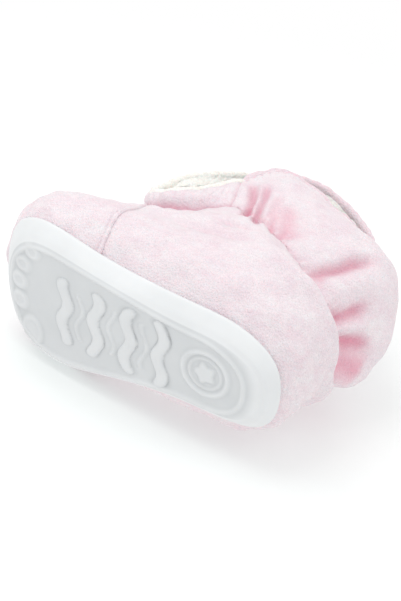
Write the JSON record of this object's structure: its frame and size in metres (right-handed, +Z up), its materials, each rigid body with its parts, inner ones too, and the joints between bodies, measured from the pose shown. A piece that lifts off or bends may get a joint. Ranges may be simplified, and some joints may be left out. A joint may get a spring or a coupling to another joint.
{
  "type": "baby bootie",
  "caption": "Soft baby bootie for the left foot: pale pink plush upper with an elasticated throat and gathered ankle, on a white moulded rubber sole.",
  "frame": {"origin": "on the tread's middle bar, under the middle of the foot", "axes": "+Z up, toe towards -Y, heel towards +Y, the wearer's left (outer side of the foot) is +X"},
  "size_m": [0.0607, 0.1265, 0.1138],
  "materials": {
    "moulded_rubber": "satin white moulded rubber",
    "fibre_board": "matt fibre board",
    "eva_foam": "matt closed-cell foam",
    "cream_fleece": "soft brushed fleece",
    "stiffener": "matt heat-formed sheet",
    "elastic_web": "woven rubber elastic",
    "sewing_thread": "polyester thread",
    "polyester_wadding": "loose polyester fibre",
    "pink_velour": "short-pile velour"
  },
  "bodies": {
    "root": {"ankle_elastic": "elastic_web", "ankle_stitching": "sewing_thread", "collar_hem": "pink_velour", "collar_lining": "cream_fleece", "collar_outer": "pink_velour", "collar_wadding": "polyester_wadding", "heel_counter": "stiffener", "hem_stitching": "sewing_thread", "insock": "cream_fleece", "insole_board": "fibre_board", "midsole_foam": "eva_foam", "outsole": "moulded_rubber", "quarter_lining": "cream_fleece", "quarter_outer": "pink_velour", "quarter_wadding": "polyester_wadding", "strobel_stitching": "sewing_thread", "throat_band": "pink_velour", "throat_elastic": "elastic_web", "toe_puff": "stiffener", "vamp_lining": "cream_fleece", "vamp_outer": "pink_velour", "vamp_seam_welt": "pink_velour", "vamp_wadding": "polyester_wadding"}
  },
  "joints": []
}
